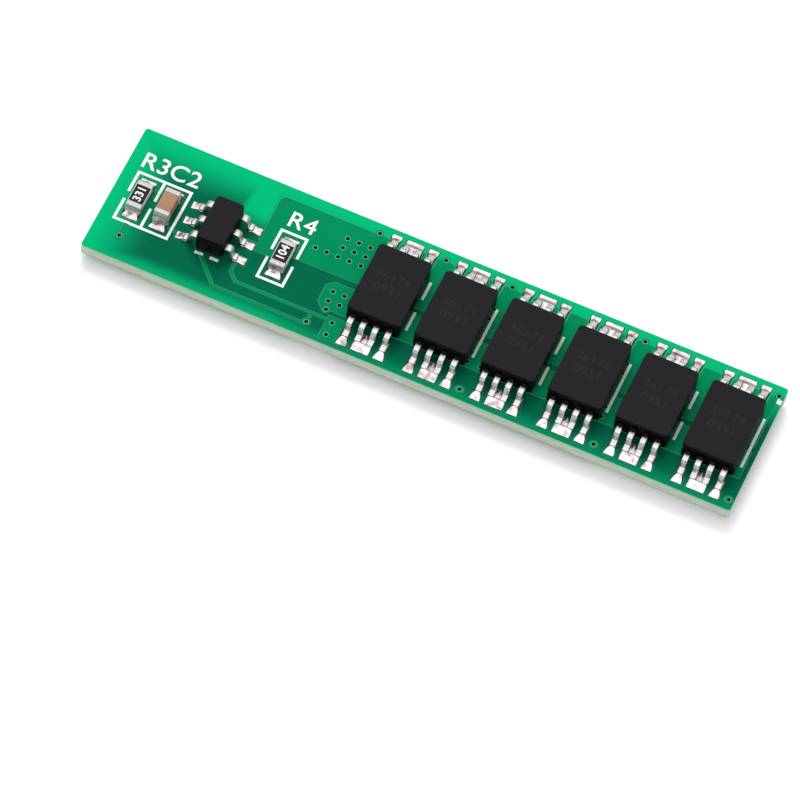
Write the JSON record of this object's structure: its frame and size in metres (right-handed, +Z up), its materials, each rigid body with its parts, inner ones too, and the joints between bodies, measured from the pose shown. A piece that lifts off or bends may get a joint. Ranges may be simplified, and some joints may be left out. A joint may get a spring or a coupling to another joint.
{
  "type": "battery management board",
  "caption": "Narrow two-sided green circuit board that protects a lithium cell, with a row of MOSFETs, a small controller, chip parts and nickel welding tabs.",
  "frame": {"origin": "middle of the board's outline, on the surface that its welding tabs stand on", "axes": "+X along the board towards the negative tab, +Y across the board, +Z up out of the component side"},
  "size_m": [0.034, 0.0078, 0.0021],
  "materials": {
    "laminate": "satin fibreglass and epoxy laminate",
    "copper": "plated copper under the solder mask",
    "mask": "glossy green solder mask",
    "legend": "white printed ink",
    "mould": "black moulded epoxy",
    "leads": "tin-plated leads",
    "ceramic": "white alumina ceramic",
    "coat": "black glass coat",
    "dielectric": "brown ceramic dielectric",
    "ends": "tin-plated ends",
    "solder": "bright tin solder",
    "nickel": "satin nickel plate"
  },
  "bodies": {
    "root": {"laminate": "laminate", "copper_top": "copper", "copper_bottom": "copper", "mask_top": "mask", "mask_bottom": "mask", "legend_top": "legend", "legend_bottom": "legend", "mosfet_1": "mould", "mosfet_2": "mould", "mosfet_3": "mould", "mosfet_4": "mould", "mosfet_5": "mould", "mosfet_6": "mould", "mosfet_1_leads": "leads", "mosfet_2_leads": "leads", "mosfet_3_leads": "leads", "mosfet_4_leads": "leads", "mosfet_5_leads": "leads", "mosfet_6_leads": "leads", "controller": "mould", "controller_leads": "leads", "resistor_1": "ceramic", "resistor_1_coat": "coat", "resistor_1_ends": "ends", "resistor_2": "ceramic", "resistor_2_coat": "coat", "resistor_2_ends": "ends", "capacitor": "dielectric", "capacitor_ends": "ends", "solder_mosfets": "solder", "solder_controller": "solder", "solder_chips": "solder", "solder_tabs": "solder", "solder_outputs": "solder", "tab_minus": "nickel", "tab_plus": "nickel"}
  },
  "joints": []
}
